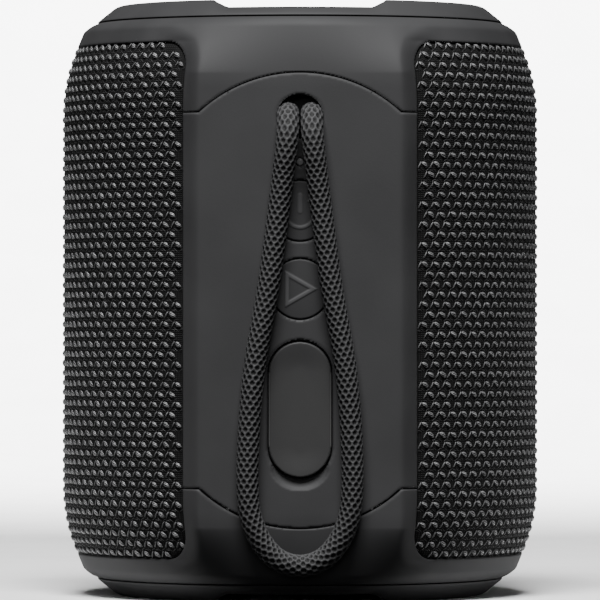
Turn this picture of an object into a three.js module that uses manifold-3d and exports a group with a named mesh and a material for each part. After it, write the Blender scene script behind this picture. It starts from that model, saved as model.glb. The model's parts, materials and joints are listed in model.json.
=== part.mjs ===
// A portable shower speaker: an upright barrel covered in knitted cloth, with a flat rubber spine down its
// back. The spine carries a hanging cord, a status light, two keys and a port cover. Each end has a rubber
// bumper ring round a passive radiator. Units are millimetres, +Z is up and the spine faces -Y.
//
// Every solid is first placed about the barrel's own axis, with z = 0 at mid-height. A depth is a distance
// from that axis towards the spine, so y = -depth. The last group lifts the speaker to stand on z = 0.
import * as THREE from "three";
import { mergeVertices } from "three/addons/utils/BufferGeometryUtils.js";
import Module from "manifold-3d";

const wasm = await Module();
wasm.setup();

// ---------------------------------------------------------------- driving dimensions
const HALF_HEIGHT = 58.7; // mid-height to the top of the bumpers
const GAP = 0.3; // clearance between neighbouring pieces
const RING_SIDES = 28;
const SMALL_SIDES = 16;

// cloth and the shells under it, at the straight middle of the barrel
const CLOTH_R = 47.4;
const CLOTH_THICK = 0.8;
const GRILLE_THICK = 1.5;
const CABINET_R = 44.5;
const WALL = 2.5;
const CLOTH_END_Z = 50.2;
const BARREL_BEND_Z = 37; // above this the barrel's side curves in
const BARREL_BEND_R = 32.6;

// spine: a flat face with bevelled sides
const SPINE_DEPTH = 44.3;
const SPINE_THICK = 2.2;
const SPINE_HALF = 19.65; // half width of the flat face
const SPINE_FOOT_HALF = 22.75; // half width where the bevels meet the cloth
const SPINE_FOOT_DEPTH = 41.8;
const SPINE_BACK_DEPTH = 40.2;
const SEAM_ARCH_Z = 44.1; // top of the arched seam between the panel and a collar
const SEAM_STRAIGHT_Z = 36.4; // where the seam crosses the bevels
const SHOULDER_R = 35.4; // the spine's face curves in towards the ends
const SHOULDER_START_Z = 40;
const COLLAR_TOP_Z = 55.1;
const COLLAR_TOP_R = 40.75;

// controls on the spine, as heights from mid-height
const POWER_Z = 17.3;
const PLAY_Z = 2.2;
const KEY_R = 5.8;
const KEY_TRAVEL_ROOM = 1.1;
const LIGHT_Z = 26.7;
const LIGHT_R = 0.75;
const COVER_Z = -21.1;
const COVER_R = 6.03;
const COVER_HALF_STRAIGHT = 7.07;
const COVER_THICK = 2.4;

// hanging cord
const CORD_D = 4.4;
const CORD_HOLE_Z = 35.6;
const CORD_HOLE_R = 4.4;
const CORD_HOLE_HALF_STRAIGHT = 0.3;

// ends
const BUMPER_INNER_R = 32;
const BUMPER_TOP_R = 36.4;
const BUMPER_GAP_Z = 57.1;
const BUMPER_GAP_HALF = 17;
const END_PLATE_Z = 48.6;
const END_PLATE_DEPTH = 39.6;
const END_HOLE_R = 26;

// electronics, as depths
const BOARD_DEPTH = 29.4;
const BOARD_THICK = 1.6;
const BOARD_HALF_WIDTH = 17;
const BOARD_TOP_Z = 29;
const BOARD_BOTTOM_Z = -38;
const BAY_FLOOR_DEPTH = 37.2;
const USB_Z = -16.5;
const AUX_Z = -28;

// drivers
const DRIVER_ANGLE = 50; // degrees either side of the front
const BAFFLE_FLAT = 36.5;
const FRONT_FLAT = 41;
const DRIVER_HOLE_R = 20;
const DRIVER_FLANGE_R = 22.5;

// volume keys on the front, as y
const VOLUME_FACE_Y = 48;
const VOLUME_KEY_Z = 8.4;
const VOLUME_KEY_R = 5;
const VOLUME_HALF_STRAIGHT = 9.4;
const VOLUME_R = 7;

// The keys on the front stand furthest out, so the axis sits behind the middle of the whole depth.
const VOLUME_KEY_PROUD = 0.3;
const AXIS_Y = (SPINE_DEPTH - VOLUME_FACE_Y - VOLUME_KEY_PROUD) / 2;

// ---------------------------------------------------------------- materials
function paint(color, roughness, metalness = 0) {
  return new THREE.MeshStandardMaterial({ color, roughness, metalness });
}
const soft_rubber = paint(0x2b2b2c, 0.62);
const collar_plastic = paint(0x2d2d2e, 0.5);
const bumper_rubber = paint(0x262627, 0.6);
const knit_cloth = paint(0x1d1d1e, 0.9);
const braided_cord = paint(0x242425, 0.85);
const cabinet_plastic = paint(0x1a1a1b, 0.55);
const membrane_rubber = paint(0x161616, 0.6);
const plate_metal = paint(0x3a3b3d, 0.35, 1);
const steel = paint(0x9a9a9a, 0.3, 1);
const circuit_board = paint(0x143a24, 0.5);
const cell_wrap = paint(0x2a4a7a, 0.4);
const paper_cone = paint(0x202020, 0.8);
const clear_plastic = paint(0xb8b8b8, 0.2);
const lead_insulation = paint(0x7a1414, 0.5);

// ---------------------------------------------------------------- solids
// A geometry as a manifold-3d solid, turned inside out if its outline ran the other way round.
function solid(geometry) {
  const loose = geometry.index ? geometry.toNonIndexed() : geometry;
  const bare = new THREE.BufferGeometry().setAttribute("position", loose.getAttribute("position"));
  const merged = mergeVertices(bare, 1e-4);
  const triVerts = new Uint32Array(merged.index.array);
  const vertProperties = merged.attributes.position.array;
  const made = new wasm.Manifold(new wasm.Mesh({ numProp: 3, vertProperties, triVerts }));
  if (made.volume() > 0) return made;
  for (let i = 0; i < triVerts.length; i += 3) {
    [triVerts[i + 1], triVerts[i + 2]] = [triVerts[i + 2], triVerts[i + 1]];
  }
  return new wasm.Manifold(new wasm.Mesh({ numProp: 3, vertProperties, triVerts }));
}

function geometryOf(made) {
  const mesh = made.getMesh();
  const stride = mesh.numProp;
  const position = new Float32Array(mesh.numVert * 3);
  for (let i = 0; i < mesh.numVert; i++) {
    position.set(mesh.vertProperties.subarray(i * stride, i * stride + 3), i * 3);
  }
  return new THREE.BufferGeometry()
    .setAttribute("position", new THREE.BufferAttribute(position, 3))
    .setIndex(new THREE.BufferAttribute(mesh.triVerts, 1));
}

const speaker = new THREE.Group();

function add(name, made, material) {
  const geometry = made.isBufferGeometry ? made : geometryOf(made);
  const mesh = new THREE.Mesh(geometry, material);
  mesh.name = name;
  speaker.add(mesh);
  return mesh;
}

// A ring or disc turned about Z from a closed outline of [radius, z] points.
function turned(outline, sides = RING_SIDES) {
  const points = [...outline, outline[0]].map(([r, z]) => new THREE.Vector2(r, z));
  return solid(new THREE.LatheGeometry(points, sides).rotateX(Math.PI / 2));
}

// A disc or pin turned about Z, whose outline starts and ends on the axis.
function turnedPin(outline, sides = SMALL_SIDES) {
  const points = outline.map(([r, z]) => new THREE.Vector2(r, z));
  return new THREE.LatheGeometry(points, sides).rotateX(Math.PI / 2);
}

// The same pin lying along Y, its own z becoming a depth.
const pinAlongDepth = (outline, sides) => turnedPin(outline, sides).rotateX(Math.PI / 2);

const shapeOf = (points) => new THREE.Shape(points.map(([x, y]) => new THREE.Vector2(x, y)));

// An outline seen from behind, in x and z, carried from one depth to another.
function carriedInDepth(shape, depth0, depth1, curveSegments = 8) {
  const settings = { depth: depth1 - depth0, bevelEnabled: false, curveSegments };
  return new THREE.ExtrudeGeometry(shape, settings).translate(0, 0, depth0).rotateX(Math.PI / 2);
}

// An outline seen from above, in x and y, carried up from z0 to z1.
function carriedUp(shape, z0, z1, curveSegments = 12) {
  const settings = { depth: z1 - z0, bevelEnabled: false, curveSegments };
  return new THREE.ExtrudeGeometry(shape, settings).translate(0, 0, z0);
}

// An outline seen from the side, in depth and z, carried across the middle by half to each side.
function carriedAcross(shape, half) {
  const settings = { depth: 2 * half, bevelEnabled: false };
  const basis = new THREE.Matrix4().makeBasis(
    new THREE.Vector3(0, -1, 0),
    new THREE.Vector3(0, 0, 1),
    new THREE.Vector3(-1, 0, 0),
  );
  return new THREE.ExtrudeGeometry(shape, settings).translate(0, 0, -half).applyMatrix4(basis);
}

// A box from its lowest and highest corners.
function block(low, high) {
  const size = high.map((h, i) => h - low[i]);
  const middle = high.map((h, i) => (h + low[i]) / 2);
  return new THREE.BoxGeometry(...size).translate(...middle);
}

// An upright pill: two half circles joined by straight sides.
function pill(radius, halfStraight, z = 0) {
  const shape = new THREE.Shape();
  shape.absarc(0, z + halfStraight, radius, 0, Math.PI, false);
  shape.absarc(0, z - halfStraight, radius, Math.PI, 2 * Math.PI, false);
  shape.closePath();
  return shape;
}

// A pill lying on its side.
function pillAcross(radius, halfStraight, z) {
  const shape = new THREE.Shape();
  shape.absarc(halfStraight, z, radius, -Math.PI / 2, Math.PI / 2, false);
  shape.absarc(-halfStraight, z, radius, Math.PI / 2, (3 * Math.PI) / 2, false);
  shape.closePath();
  return shape;
}

const turnedOver = (made) => made.mirror([0, 0, 1]);
const cordPath = (points) => new THREE.CatmullRomCurve3(points.map((p) => new THREE.Vector3(...p)));

// A round tube of the given diameter along a curve.
function tube(curve, diameter, steps, sides = 8) {
  const ring = Array.from({ length: sides }, (_, i) => {
    const turn = (2 * Math.PI * i) / sides;
    return [(diameter / 2) * Math.cos(turn), (diameter / 2) * Math.sin(turn)];
  });
  return new THREE.ExtrudeGeometry(shapeOf(ring), { steps, extrudePath: curve, bevelEnabled: false });
}

// ---------------------------------------------------------------- barrel: cloth, grille and cabinet
// The barrel's side as [radius, z] points from bottom to top: straight, then an arc in towards each end.
function barrelSide(radius, endZ, steps = 3) {
  const rise = endZ - BARREL_BEND_Z;
  const upper = Array.from({ length: steps + 1 }, (_, i) => {
    const up = (rise * i) / steps;
    return [radius - BARREL_BEND_R + Math.sqrt(BARREL_BEND_R ** 2 - up ** 2), BARREL_BEND_Z + up];
  });
  return [...upper.map(([r, z]) => [r, -z]).reverse(), ...upper];
}

function barrelShell(radius, thick, endZ) {
  return turned([...barrelSide(radius, endZ), ...barrelSide(radius - thick, endZ).reverse()]);
}

const volumeHole = (margin) =>
  solid(carriedInDepth(pill(VOLUME_R + margin, VOLUME_HALF_STRAIGHT), -VOLUME_FACE_Y - 5, -CABINET_R + 8));
const spineGap = (half) => solid(block([-half, -60, -60], [half, -30, 60]));

const grilleR = CLOTH_R - CLOTH_THICK - GAP;
const cloth = barrelShell(CLOTH_R, CLOTH_THICK, CLOTH_END_Z)
  .subtract(spineGap(SPINE_FOOT_HALF + GAP))
  .subtract(volumeHole(GAP));
add("cloth_sleeve", cloth, knit_cloth);

// The grille is open in front of each driver.
let grille = barrelShell(grilleR, GRILLE_THICK, CLOTH_END_Z)
  .subtract(spineGap(SPINE_FOOT_HALF + GAP))
  .subtract(volumeHole(GAP));
for (const side of [-1, 1]) {
  const turn = -side * THREE.MathUtils.degToRad(DRIVER_ANGLE);
  for (const z of [-26, -13, 0, 13, 26]) {
    const slot = block([-17, 35, z - 4.5], [17, 60, z + 4.5]).rotateZ(turn);
    grille = grille.subtract(solid(slot));
  }
}
add("grille_shell", grille, cabinet_plastic);

// The cabinet is a barrel with flats for the two drivers, the volume keys and the electronics. Its end plates
// run on past the electronics' flat to meet the spine.
function cabinetForm(inset) {
  const endZ = END_PLATE_Z - inset;
  const outline = [[0, -endZ], ...barrelSide(CABINET_R - inset, endZ), [0, endZ]];
  const flat = (distance, angle) =>
    solid(block([-70, distance, -70], [70, 140, 70]).rotateZ(THREE.MathUtils.degToRad(angle)));
  return solid(turnedPin(outline, RING_SIDES))
    .subtract(flat(BAFFLE_FLAT - inset, DRIVER_ANGLE))
    .subtract(flat(BAFFLE_FLAT - inset, -DRIVER_ANGLE))
    .subtract(flat(FRONT_FLAT - inset, 0));
}
const shellFront = BOARD_DEPTH - 0.6; // depth of the wall behind the electronics
const wallTop = END_PLATE_Z - WALL;
const electronicsRoom = solid(block([-60, -60, -wallTop], [60, -shellFront, wallTop]));
const platesEnd = solid(block([-60, -60, -60], [60, -END_PLATE_DEPTH, 60]));
const innerRoom = cabinetForm(WALL).subtract(solid(block([-60, -60, -60], [60, -shellFront + WALL, 60])));
let cabinet = cabinetForm(0).subtract(innerRoom).subtract(electronicsRoom).subtract(platesEnd);
for (const end of [-1, 1]) {
  const hole = new THREE.CylinderGeometry(END_HOLE_R, END_HOLE_R, 8, RING_SIDES).rotateX(Math.PI / 2);
  cabinet = cabinet.subtract(solid(hole.translate(0, 0, end * (wallTop + 4))));
}
const driverHole = new THREE.CylinderGeometry(DRIVER_HOLE_R, DRIVER_HOLE_R, 30, RING_SIDES);
driverHole.translate(0, 40, 0);
for (const side of [-1, 1]) {
  const turn = -side * THREE.MathUtils.degToRad(DRIVER_ANGLE);
  cabinet = cabinet.subtract(solid(driverHole.clone().rotateZ(turn)));
}

const walls = cabinet;

// Screw posts join the two halves near the cabinet's corners.
const SCREW_PLACES = [
  [-37, 38],
  [37, 38],
  [-37, -38],
  [37, -38],
];
const POST_R = 4;
const SCREW_HEAD_Y = -8;
for (const [x, z] of SCREW_PLACES) {
  const post = solid(new THREE.CylinderGeometry(POST_R, POST_R, 48, 16).translate(x, 0, z));
  const thread = solid(new THREE.CylinderGeometry(1.5, 1.5, 24, 12).translate(x, 0, z));
  const sink = solid(new THREE.CylinderGeometry(2.9, 2.9, 40, 12).translate(x, SCREW_HEAD_Y - 20, z));
  cabinet = cabinet.add(post.intersect(cabinetForm(0.5))).subtract(thread).subtract(sink);
}
const SEAL_HALF = 0.5;
const behind = solid(block([-60, -60, -60], [60, -SEAL_HALF - 0.1, 60]));
const before = solid(block([-60, SEAL_HALF + 0.1, -60], [60, 60, 60]));
add("cabinet_rear", cabinet.intersect(behind), cabinet_plastic);
add("cabinet_front", cabinet.intersect(before), cabinet_plastic);

// A seal lies between the halves on each side, shaped like the cabinet's wall where it is cut.
for (const [name, side] of [["left", -1], ["right", 1]]) {
  const slice = block([-30, -SEAL_HALF, -60], [30, SEAL_HALF, 60]).translate(side * 31, 0, 0);
  add(`cabinet_seal_${name}`, walls.intersect(solid(slice)), membrane_rubber);
}

const screwOutline = (shankR, length, headR, headThick) => [
  [0, 0],
  [shankR, 0],
  [shankR, length],
  [headR, length],
  [headR, length + headThick],
  [0, length + headThick],
];
SCREW_PLACES.forEach(([x, z], i) => {
  const screw = pinAlongDepth(screwOutline(1.2, 18, 2.5, 1.8), 8);
  add(`cabinet_screw_${i + 1}`, screw.translate(x, -SCREW_HEAD_Y * 1.25 - GAP, z), steel);
});

// ---------------------------------------------------------------- spine: two collars and the rear panel
// The spine seen from above: a channel with bevelled sides.
const spineSection = shapeOf([
  [-SPINE_FOOT_HALF, -SPINE_BACK_DEPTH],
  [-SPINE_FOOT_HALF, -SPINE_FOOT_DEPTH],
  [-SPINE_HALF, -SPINE_DEPTH],
  [SPINE_HALF, -SPINE_DEPTH],
  [SPINE_FOOT_HALF, -SPINE_FOOT_DEPTH],
  [SPINE_FOOT_HALF, -SPINE_BACK_DEPTH],
  [SPINE_FOOT_HALF - 1.9, -SPINE_BACK_DEPTH],
  [SPINE_HALF - 1.1, -SPINE_DEPTH + SPINE_THICK],
  [-SPINE_HALF + 1.1, -SPINE_DEPTH + SPINE_THICK],
  [-SPINE_FOOT_HALF + 1.9, -SPINE_BACK_DEPTH],
]);

// The arched seam, seen from behind, from one foot to the other. offset moves it up or down.
const archRise = SEAM_ARCH_Z - SEAM_STRAIGHT_Z;
const archR = (SPINE_HALF ** 2 + archRise ** 2) / (2 * archRise);
function archPoints(offset, steps = 14) {
  const points = [[-SPINE_FOOT_HALF - 3, SEAM_STRAIGHT_Z + offset]];
  for (let i = 0; i <= steps; i++) {
    const x = -SPINE_HALF + (2 * SPINE_HALF * i) / steps;
    points.push([x, SEAM_ARCH_Z - archR + Math.sqrt(archR ** 2 - x ** 2) + offset]);
  }
  points.push([SPINE_FOOT_HALF + 3, SEAM_STRAIGHT_Z + offset]);
  return points;
}
const aboveArch = (offset) => {
  const far = SPINE_FOOT_HALF + 3;
  return solid(carriedInDepth(shapeOf([...archPoints(offset), [far, 70], [-far, 70]]), 30, 60));
};

// A collar: a ring over the cloth's end, with a tongue down the spine as far as the arched seam.
const collarRing = turned([
  [37.8, 48.9],
  [41.5, 48.9],
  [41.5, 50.5],
  [44.5, 50.5],
  [42.75, 53.9],
  [41.9, 54.55],
  [COLLAR_TOP_R, COLLAR_TOP_Z],
  [37.8, COLLAR_TOP_Z],
]);
const shoulder = Array.from({ length: 8 }, (_, i) => {
  const up = ((COLLAR_TOP_Z - SHOULDER_START_Z) * i) / 7;
  return [SPINE_DEPTH - SHOULDER_R + Math.sqrt(SHOULDER_R ** 2 - up ** 2), SHOULDER_START_Z + up];
});
const spineProfile = shapeOf([[30, 20], [SPINE_DEPTH, 20], ...shoulder, [30, COLLAR_TOP_Z]]);
const tongueBack = shapeOf([
  [SPINE_DEPTH - SPINE_THICK, 20],
  [SPINE_DEPTH - SPINE_THICK, 40],
  [40.6, 49],
  [39, 49],
  [39, 60],
  [60, 60],
  [60, 20],
]);
const ENVELOPE_R = 16;
const envelope = Array.from({ length: 8 }, (_, i) => {
  const angle = THREE.MathUtils.degToRad((65 * i) / 7);
  return [34 + ENVELOPE_R * Math.cos(angle), 40.95 + ENVELOPE_R * Math.sin(angle)];
});
const rounding = turned([[20, 20], [50, 20], ...envelope, [20, COLLAR_TOP_Z + 0.05]]);
// The spine's outline from above, filled in, for the tongue to be cut from.
const filledSpine = shapeOf([
  [-SPINE_FOOT_HALF, -38],
  [-SPINE_FOOT_HALF, -SPINE_FOOT_DEPTH],
  [-SPINE_HALF, -SPINE_DEPTH],
  [SPINE_HALF, -SPINE_DEPTH],
  [SPINE_FOOT_HALF, -SPINE_FOOT_DEPTH],
  [SPINE_FOOT_HALF, -38],
]);
const tongueBlock = solid(carriedUp(filledSpine, 20, COLLAR_TOP_Z));
const tongue = tongueBlock
  .intersect(solid(carriedAcross(spineProfile, 30)))
  .intersect(solid(carriedAcross(tongueBack, 30)).add(solid(carriedUp(spineSection, 20, COLLAR_TOP_Z))))
  .intersect(rounding)
  .intersect(aboveArch(GAP / 2));
const beyondFace = shapeOf([...shoulder, [COLLAR_TOP_R, 60], [60, 60], [60, SHOULDER_START_Z]]);
const collar = collarRing.subtract(solid(carriedAcross(beyondFace, SPINE_FOOT_HALF - 0.05))).add(tongue);
add("upper_collar", collar, collar_plastic);
add("lower_collar", turnedOver(collar), collar_plastic);

// The rear panel closes the spine between the two arched seams, and holds the controls.
const throughSpine = (shape) => solid(carriedInDepth(shape, 38, 60));
const circleAt = (radius, z) => new THREE.Shape().absarc(0, z, radius, 0, 2 * Math.PI, false);
const nailScoop = solid(
  new THREE.SphereGeometry(1, 20, 12).scale(6.4, 2.6, 5.2).translate(0, -SPINE_DEPTH - 0.9, COVER_Z - 11.6),
);
const panel = solid(carriedUp(spineSection, -50, 50))
  .subtract(aboveArch(-GAP / 2))
  .subtract(turnedOver(aboveArch(-GAP / 2)))
  .subtract(throughSpine(pillAcross(CORD_HOLE_R, CORD_HOLE_HALF_STRAIGHT, CORD_HOLE_Z)))
  .subtract(throughSpine(circleAt(LIGHT_R + 0.1, LIGHT_Z)))
  .subtract(throughSpine(circleAt(KEY_R + 0.25, POWER_Z)))
  .subtract(throughSpine(circleAt(KEY_R + 0.25, PLAY_Z)))
  .subtract(throughSpine(pill(COVER_R + GAP, COVER_HALF_STRAIGHT, COVER_Z)))
  .subtract(nailScoop);
add("rear_panel", panel, soft_rubber);

// ---------------------------------------------------------------- controls on the spine
// A key: a cap in the panel, a flange behind it and a stem that reaches the switch.
const switchTop = BOARD_DEPTH + BOARD_THICK + 4.3;
const panelBack = SPINE_DEPTH - SPINE_THICK;
const keyOutline = [
  [0, switchTop + 0.6],
  [1.5, switchTop + 0.6],
  [1.5, panelBack - KEY_TRAVEL_ROOM],
  [KEY_R + 1, panelBack - KEY_TRAVEL_ROOM],
  [KEY_R + 1, panelBack - GAP],
  [KEY_R, panelBack - GAP],
  [KEY_R, SPINE_DEPTH - 0.3],
  [KEY_R - 0.3, SPINE_DEPTH],
  [0, SPINE_DEPTH],
];
for (const [name, z] of [["power", POWER_Z], ["play", PLAY_Z]]) {
  add(`${name}_button`, pinAlongDepth(keyOutline, 20), soft_rubber).position.z = z;
  const body = solid(block([-3, -switchTop + 0.8, z - 3], [3, -BOARD_DEPTH - BOARD_THICK, z + 3]));
  const plungerOutline = [[0, switchTop - 1.5], [1.7, switchTop - 1.5], [1.7, switchTop], [0, switchTop]];
  const plunger = pinAlongDepth(plungerOutline, 16);
  add(`${name}_switch`, body.add(solid(plunger.translate(0, 0, z))), steel);
}
const ledTop = BOARD_DEPTH + BOARD_THICK + 0.8;
const led = block([-0.8, -ledTop, LIGHT_Z - 0.5], [0.8, -BOARD_DEPTH - BOARD_THICK, LIGHT_Z + 0.5]);
add("status_led", led, clear_plastic);
const pipe = [
  [0, ledTop + GAP],
  [LIGHT_R, ledTop + GAP],
  [LIGHT_R, SPINE_DEPTH - 0.1],
  [0, SPINE_DEPTH - 0.1],
];
add("status_light_pipe", pinAlongDepth(pipe, 12), clear_plastic).position.z = LIGHT_Z;

// The port cover is a soft plug that swings about its top edge, over a bay that holds the two sockets.
const coverFace = SPINE_DEPTH - 0.1;
const coverOutline = pill(COVER_R, COVER_HALF_STRAIGHT, COVER_Z);
add("port_cover", carriedInDepth(coverOutline, coverFace - COVER_THICK, coverFace), soft_rubber);
const bayMouth = panelBack - GAP;
const bayWall = 1.2;
const bayOutside = pill(COVER_R + GAP + bayWall, COVER_HALF_STRAIGHT, COVER_Z);
const bayInside = pill(COVER_R + GAP, COVER_HALF_STRAIGHT, COVER_Z);
const throughBay = (shape) => solid(carriedInDepth(shape, 30, 60));
const bay = solid(carriedInDepth(bayOutside, BAY_FLOOR_DEPTH - bayWall, bayMouth))
  .subtract(solid(carriedInDepth(bayInside, BAY_FLOOR_DEPTH, 60)))
  .subtract(throughBay(pillAcross(1.6 + GAP, 2.9, USB_Z)))
  .subtract(throughBay(circleAt(3 + GAP, AUX_Z)));
add("port_bay", bay, cabinet_plastic);
const boardTop = BOARD_DEPTH + BOARD_THICK;
const usb = solid(carriedInDepth(pillAcross(1.6, 2.9, USB_Z), boardTop, BAY_FLOOR_DEPTH))
  .subtract(solid(carriedInDepth(pillAcross(1.3, 2.9, USB_Z), boardTop + 1, 60)))
  .add(solid(block([-2.6, -BAY_FLOOR_DEPTH + 0.6, USB_Z - 0.35], [2.6, -boardTop - 0.5, USB_Z + 0.35])));
add("usb_socket", usb, steel);
const aux = solid(carriedInDepth(circleAt(3, AUX_Z), boardTop, BAY_FLOOR_DEPTH))
  .subtract(solid(carriedInDepth(circleAt(1.75, AUX_Z), boardTop + 1, 60)));
add("aux_socket", aux, membrane_rubber);

// ---------------------------------------------------------------- hanging cord
// The cord's two ends sit in a clamp inside a closed pocket. It leaves through the hole as two strands side
// by side and hangs down the panel as one loop.
const strand = [
  [2.3, 38.0, 36.3],
  [2.3, 42.4, 36.3],
  [2.3, 45.2, 35.4],
  [2.35, 47.2, 32.7],
  [2.75, 47.6, 28.6],
  [3.25, 47.2, 24.4],
  [3.9, 46.9, 19.1],
  [4.9, 46.8, 11.2],
  [6.0, 46.8, 3.1],
  [7.3, 46.8, -4.2],
  [8.6, 46.8, -11.7],
  [9.5, 46.8, -19.9],
  [10.0, 46.8, -28.5],
  [10.1, 46.8, -35.6],
  [9.5, 46.7, -41.6],
  [7.4, 46.4, -46.6],
  [4.2, 46.1, -50.0],
];
const strandPoints = (side) => strand.map(([x, depth, z]) => [side * x, -depth, z]);
const loopBottom = [0, -45.9, -51.2];
const loop = cordPath([...strandPoints(-1), loopBottom, ...strandPoints(1).reverse()]);
add("hanging_cord", tube(loop, CORD_D, 60, 8), braided_cord);

const [, endDepth, endZ] = strand[0];
add("cord_clamp", block([-6, GAP, -2.4], [6, GAP + 3.5, 2.4]), steel).position.set(0, -endDepth, endZ);
const pocket = solid(block([-8.2, -40.9, 29.9], [8.2, -31, 44.4]))
  .subtract(solid(block([-7, -60, 31.1], [7, -32.2, 43.2])));
add("cord_pocket", pocket, cabinet_plastic);

// ---------------------------------------------------------------- electronics and battery
add("main_board", block(
  [-BOARD_HALF_WIDTH, -BOARD_DEPTH - BOARD_THICK + 0.05, BOARD_BOTTOM_Z],
  [BOARD_HALF_WIDTH, -BOARD_DEPTH, BOARD_TOP_Z]), circuit_board);
[[-14, 26], [14, 26], [-14, -35], [14, -35]].forEach(([x, z], i) => {
  const headOutline = [
    [0, boardTop + 0.05],
    [2, boardTop + 0.05],
    [2, boardTop + 1.3],
    [0, boardTop + 1.3],
  ];
  const head = pinAlongDepth(headOutline, 8);
  add(`board_screw_${i + 1}`, head.translate(x, 0, z), steel);
});
add("radio_module", block([6.5, -boardTop - 2.2, -12], [16, -boardTop - 0.05, 2]), steel);

const CELL_R = 9.15;
const CELL_Y = -13.6;
add("battery_cell", new THREE.CylinderGeometry(CELL_R, CELL_R, 65, SMALL_SIDES).rotateX(Math.PI / 2)
  .translate(0, CELL_Y, 0), cell_wrap);
const cradle = solid(block([-11, -25.7, -30], [11, -17.6, 30])).subtract(
  solid(new THREE.CylinderGeometry(CELL_R + GAP, CELL_R + GAP, 80, SMALL_SIDES).rotateX(Math.PI / 2)
    .translate(0, CELL_Y, 0)));
add("battery_cradle", cradle, cabinet_plastic);

// ---------------------------------------------------------------- drivers
// Each driver is made facing +Y, with its flange on the baffle, and turned to its own side.
const basketOutline = [
  [DRIVER_FLANGE_R, 38.3],
  [DRIVER_FLANGE_R, BAFFLE_FLAT + GAP],
  [DRIVER_HOLE_R - GAP, BAFFLE_FLAT + GAP],
  [DRIVER_HOLE_R - GAP, 33.5],
  [12, 28.2],
  [7.2, 28.2],
  [7.2, 29.4],
  [11.6, 29.4],
  [18.2, 34.4],
  [18.2, 38.3],
];
const coneOutline = [[6.1, 26.5], [6.5, 26.5], [6.5, 31.4], [15.2, 36.6], [15.2, 37.2], [6.1, 32.2]];
const surroundOutline = [[15.5, 36.9], [15.9, 36.6], [17.9, 36.6], [17.9, 37.2], [17.2, 38.4], [16.3, 38.4]];
const magnetOutline = [
  [0, 17.5],
  [15, 17.5],
  [15, 27.9],
  [7, 27.9],
  [7, 21.5],
  [5.5, 21.5],
  [5.5, 28.6],
  [0, 28.6],
];
const capOutline = [[0, 31.6], [6.3, 31.6], [6.3, 32.2], [5, 34], [2.6, 34.8], [0, 35]];
const facingFront = (made) => made.rotate([-90, 0, 0]).mirror([0, 0, 1]);
for (const [name, side] of [["left", -1], ["right", 1]]) {
  const turn = [0, 0, -side * DRIVER_ANGLE];
  const place = (made) => facingFront(made).rotate(turn);
  const cone = turned(coneOutline, 20).add(solid(turnedPin(capOutline, 20)));
  add(`${name}_driver_basket`, place(turned(basketOutline, 20)), steel);
  add(`${name}_driver_surround`, place(turned(surroundOutline, 20)), membrane_rubber);
  add(`${name}_driver_magnet`, place(solid(turnedPin(magnetOutline, 20))), steel);
  add(`${name}_driver_cone`, place(cone), paper_cone);
}

// ---------------------------------------------------------------- ends: passive radiators and bumpers
const frameRing = turned([[28.6, END_PLATE_Z + GAP], [37.2, END_PLATE_Z + GAP], [37.2, 51.2], [28.6, 51.2]]);
const roll = turned([
  [20.6, 51.4],
  [20.6, 50.2],
  [22.4, 50.2],
  [24.5, 52.3],
  [26.6, 50.2],
  [28.3, 50.2],
  [28.3, 51.4],
  [26.4, 52.7],
  [24.5, 53.5],
  [22.6, 52.7],
]);
const plateOutline = [
  [0, 45.6],
  [9, 45.6],
  [9, 49.7],
  [20.3, 49.7],
  [20.3, 51.7],
  [0, 51.7],
];
const plate = solid(turnedPin(plateOutline, RING_SIDES));
// The bumper's ring is low behind and in front, where two gaps let air out.
const bumperRing = turned([
  [BUMPER_INNER_R, 51.5],
  [37.5, 51.5],
  [37.5, COLLAR_TOP_Z + GAP],
  [COLLAR_TOP_R - 0.4, COLLAR_TOP_Z + GAP],
  [BUMPER_TOP_R + 0.5, 58.3],
  [BUMPER_TOP_R - 0.4, HALF_HEIGHT],
  [BUMPER_INNER_R + 0.8, HALF_HEIGHT],
  [BUMPER_INNER_R, 57.9],
]);
const gapOutline = shapeOf([
  [-BUMPER_GAP_HALF, 70],
  [-BUMPER_GAP_HALF, HALF_HEIGHT],
  [-BUMPER_GAP_HALF + 3, BUMPER_GAP_Z],
  [BUMPER_GAP_HALF - 3, BUMPER_GAP_Z],
  [BUMPER_GAP_HALF, HALF_HEIGHT],
  [BUMPER_GAP_HALF, 70],
]);
const bumper = bumperRing.subtract(solid(carriedInDepth(gapOutline, -60, 60)));
for (const [name, place] of [["top", (made) => made], ["bottom", turnedOver]]) {
  add(`${name}_radiator_frame`, place(frameRing), cabinet_plastic);
  add(`${name}_radiator_surround`, place(roll), membrane_rubber);
  add(`${name}_radiator_plate`, place(plate), plate_metal);
  add(`${name}_bumper`, place(bumper), bumper_rubber);
}

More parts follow.
